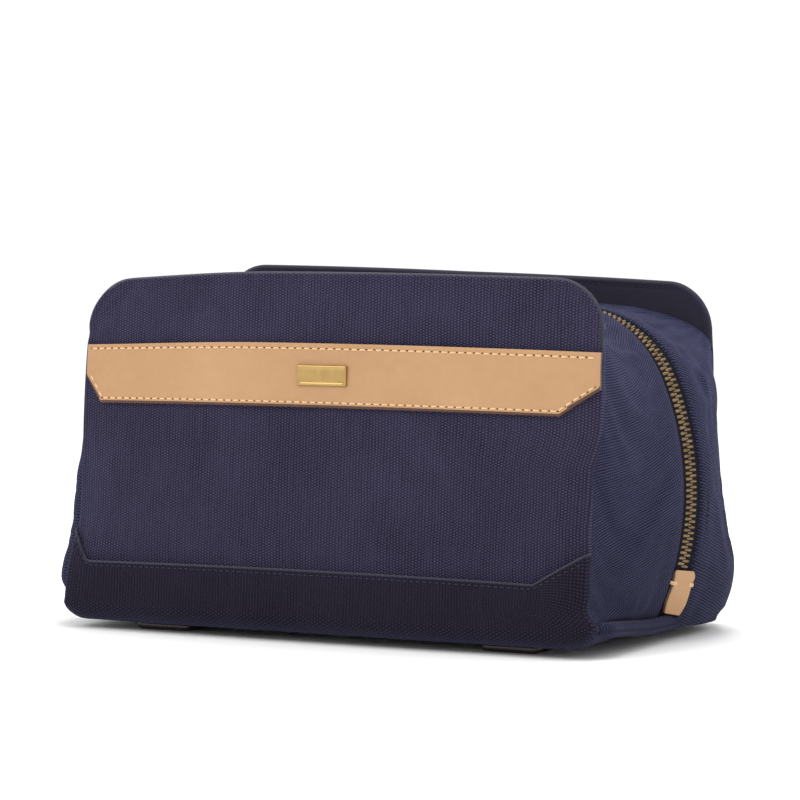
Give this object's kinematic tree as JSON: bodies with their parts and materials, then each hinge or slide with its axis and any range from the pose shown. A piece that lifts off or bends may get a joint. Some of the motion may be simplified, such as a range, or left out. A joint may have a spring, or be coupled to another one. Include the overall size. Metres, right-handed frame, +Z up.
{
  "type": "shaving kit bag",
  "caption": "Zip-top shaving kit bag: stiff bowed front and rear panels, soft zipped gusset over the top and sides, stiffened base on block feet.",
  "frame": {"origin": "on the standing surface, under the middle of the bag's box", "axes": "+X to the right seen from the front, -Y out of the front face, +Z up"},
  "size_m": [0.2883, 0.17, 0.162],
  "materials": {
    "navy_twill": "matte ribbed navy canvas",
    "navy_facing": "matte dark navy cloth",
    "lining": "smooth woven lining",
    "zip_tape": "dark woven tape",
    "tan_leather": "natural vegetable-tanned leather",
    "antique_brass": "antique brass",
    "foot_plastic": "dark brown, glossy",
    "stiffener": "grey-brown fibre board"
  },
  "bodies": {
    "base": {"base_cover": "navy_twill", "base_board": "stiffener", "base_lining": "lining", "front_left_foot": "foot_plastic", "front_left_foot_rivet": "antique_brass", "rear_left_foot": "foot_plastic", "rear_left_foot_rivet": "antique_brass", "front_right_foot": "foot_plastic", "front_right_foot_rivet": "antique_brass", "rear_right_foot": "foot_plastic", "rear_right_foot_rivet": "antique_brass", "left_base_welt": "navy_twill", "right_base_welt": "navy_twill", "left_zip_end_tab": "tan_leather", "right_zip_end_tab": "tan_leather", "left_zip_tape_tail": "zip_tape", "right_zip_tape_tail": "zip_tape", "zip_bottom_stop": "antique_brass", "front_zip_top_stop": "antique_brass", "rear_zip_top_stop": "antique_brass"},
    "front_half": {"front_cover": "navy_twill", "front_board": "stiffener", "front_fin_facing": "navy_facing", "front_lining": "lining", "front_pocket": "lining", "front_pocket_binding": "navy_facing", "front_boot": "navy_twill", "front_gusset": "navy_twill", "front_gusset_lining": "lining", "front_zip_tape": "zip_tape", "front_zip_teeth": "antique_brass", "leather_band": "tan_leather", "nameplate": "antique_brass"},
    "rear_half": {"rear_cover": "navy_twill", "rear_board": "stiffener", "rear_fin_facing": "navy_facing", "rear_lining": "lining", "rear_pocket": "lining", "rear_pocket_binding": "navy_facing", "rear_boot": "navy_twill", "rear_gusset": "navy_twill", "rear_gusset_lining": "lining", "rear_zip_tape": "zip_tape", "rear_zip_teeth": "antique_brass"},
    "slider": {"zip_slider": "antique_brass"},
    "pull": {"pull_link": "antique_brass", "pull_fob": "tan_leather", "pull_rivet": "antique_brass"}
  },
  "joints": [
    {"name": "front_fold", "type": "hinge", "parent": "base", "child": "front_half", "pos_m": [0, -0.0856, 0.012], "axis": [1, 0, 0], "range_deg": [0, 25], "deforming": ["front_zip_tape", "front_zip_teeth"]},
    {"name": "rear_fold", "type": "hinge", "parent": "base", "child": "rear_half", "pos_m": [0, 0.0856, 0.012], "axis": [-1, 0, 0], "range_deg": [0, 25], "deforming": ["rear_zip_tape", "rear_zip_teeth"]},
    {"name": "slider_travel", "type": "hinge", "parent": "base", "child": "slider", "pos_m": [-0.012, 0, 0.065], "axis": [0, 1, 0], "range_deg": [0, 32], "deforming": ["front_zip_teeth", "rear_zip_teeth"]},
    {"name": "pull_swing", "type": "hinge", "parent": "slider", "child": "pull", "pos_m": [-0.143, 0, 0.0373], "axis": [0, 1, 0], "range_deg": [0, 150]}
  ]
}
